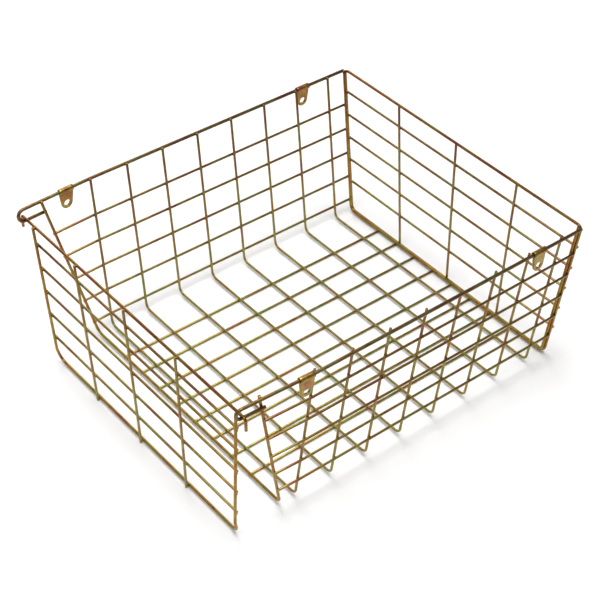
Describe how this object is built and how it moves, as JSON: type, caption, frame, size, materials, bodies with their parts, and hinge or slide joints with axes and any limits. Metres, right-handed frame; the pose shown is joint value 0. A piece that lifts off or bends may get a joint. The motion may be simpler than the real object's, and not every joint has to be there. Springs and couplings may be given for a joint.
{
  "type": "letter cage",
  "caption": "Open wire letter cage with sloping mesh walls, a fixed end panel, a hinged mesh lid and folded screw clips on its rims, to hang behind a door's letterplate.",
  "frame": {"origin": "under the middle of the object, on the plane that its floor wires lie on", "axes": "+X from the lid to the fixed end panel, +Y to the left wall, +Z out of the open door side"},
  "size_m": [0.3624, 0.3118, 0.1557],
  "materials": {
    "rim_wire": "yellow passivated zinc plate on steel wire, brown to olive sheen",
    "frame_wire": "yellow passivated zinc plate on steel wire, gold with pink and green sheen",
    "mesh_wire": "yellow passivated zinc plate on steel wire, gold with pink and green sheen",
    "clip_strip": "yellow passivated zinc plate on steel strip"
  },
  "bodies": {
    "cage": {"left_rim": "rim_wire", "right_rim": "rim_wire", "lid_end_hoop": "frame_wire", "hoop_1": "mesh_wire", "hoop_2": "mesh_wire", "hoop_3": "mesh_wire", "hoop_4": "mesh_wire", "hoop_5": "mesh_wire", "hoop_6": "mesh_wire", "hoop_7": "mesh_wire", "hoop_8": "mesh_wire", "fixed_end_hoop": "frame_wire", "left_row_1": "mesh_wire", "left_row_2": "mesh_wire", "left_row_3": "mesh_wire", "left_row_4": "mesh_wire", "left_row_5": "mesh_wire", "right_row_1": "mesh_wire", "right_row_2": "mesh_wire", "right_row_3": "mesh_wire", "right_row_4": "mesh_wire", "right_row_5": "mesh_wire", "floor_row_1": "mesh_wire", "floor_row_2": "mesh_wire", "floor_row_3": "mesh_wire", "floor_row_4": "mesh_wire", "floor_row_5": "mesh_wire", "floor_row_6": "mesh_wire", "floor_row_7": "mesh_wire", "floor_row_8": "mesh_wire", "end_panel_frame": "frame_wire", "end_panel_row_1": "mesh_wire", "end_panel_row_2": "mesh_wire", "end_panel_row_3": "mesh_wire", "end_panel_row_4": "mesh_wire", "end_panel_row_5": "mesh_wire", "end_panel_upright_1": "mesh_wire", "end_panel_upright_2": "mesh_wire", "end_panel_upright_3": "mesh_wire"},
    "lid": {"lid_hinge_wire": "frame_wire", "lid_frame": "frame_wire", "lid_row_1": "mesh_wire", "lid_row_2": "mesh_wire", "lid_row_3": "mesh_wire", "lid_row_4": "mesh_wire", "lid_row_5": "mesh_wire", "lid_upright_1": "mesh_wire", "lid_upright_2": "mesh_wire", "lid_upright_3": "mesh_wire"},
    "left_lid_end_clip": {"clip_left_lid_end": "clip_strip"},
    "left_fixed_end_clip": {"clip_left_fixed_end": "clip_strip"},
    "right_lid_end_clip": {"clip_right_lid_end": "clip_strip"},
    "right_fixed_end_clip": {"clip_right_fixed_end": "clip_strip"}
  },
  "joints": [
    {"name": "lid_hinge", "type": "hinge", "parent": "cage", "child": "lid", "pos_m": [-0.17421, 0, 0.1451], "axis": [0, 1, 0], "range_deg": [-17, 90]},
    {"name": "left_lid_end_clip_turn", "type": "hinge", "parent": "cage", "child": "left_lid_end_clip", "pos_m": [-0.13101, 0.1522, 0.153], "axis": [0.999, 0.0447, 0], "continuous": true},
    {"name": "left_fixed_end_clip_turn", "type": "hinge", "parent": "cage", "child": "left_fixed_end_clip", "pos_m": [0.12716, 0.15326, 0.153], "axis": [1, 0, 0], "continuous": true},
    {"name": "right_lid_end_clip_turn", "type": "hinge", "parent": "cage", "child": "right_lid_end_clip", "pos_m": [-0.11641, -0.15285, 0.153], "axis": [0.999, -0.0447, 0], "continuous": true},
    {"name": "right_fixed_end_clip_turn", "type": "hinge", "parent": "cage", "child": "right_fixed_end_clip", "pos_m": [0.12716, -0.15326, 0.153], "axis": [1, 0, 0], "continuous": true}
  ]
}
